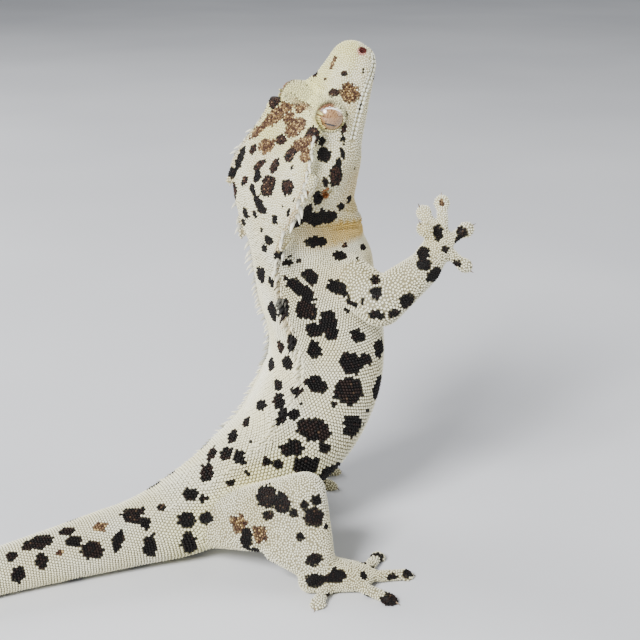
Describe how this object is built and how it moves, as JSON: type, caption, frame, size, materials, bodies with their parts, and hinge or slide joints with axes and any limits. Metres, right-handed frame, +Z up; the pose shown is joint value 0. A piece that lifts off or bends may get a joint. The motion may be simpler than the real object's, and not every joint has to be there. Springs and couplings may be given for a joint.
{
  "type": "crested gecko model",
  "caption": "Still, life-size crested gecko rearing on its hind legs and tail, head raised, one hand held out, with rows of spines along head and back.",
  "frame": {"origin": "middle of the floor print: the centre of the bounding box, on the floor", "axes": "+Z up, +X the way the gecko faces, with the tail lying towards -X; its left side faces +Y"},
  "size_m": [0.1458, 0.0678, 0.0979],
  "materials": {
    "skin": "cream-white scaly skin with near-black and brown spots",
    "eye": "clear, wet surface over a tan-brown iris with a dark slit"
  },
  "bodies": {
    "root": {"head": "skin", "eye_right": "eye", "eye_left": "eye", "neck": "skin", "chest": "skin", "belly": "skin", "pelvis": "skin", "tail_base": "skin", "tail_middle": "skin", "tail_tip": "skin", "upper_arm_right": "skin", "forearm_right": "skin", "hand_right": "skin", "upper_arm_left": "skin", "forearm_left": "skin", "hand_left": "skin", "thigh_right": "skin", "shank_right": "skin", "foot_right": "skin", "thigh_left": "skin", "shank_left": "skin", "foot_left": "skin"}
  },
  "joints": []
}
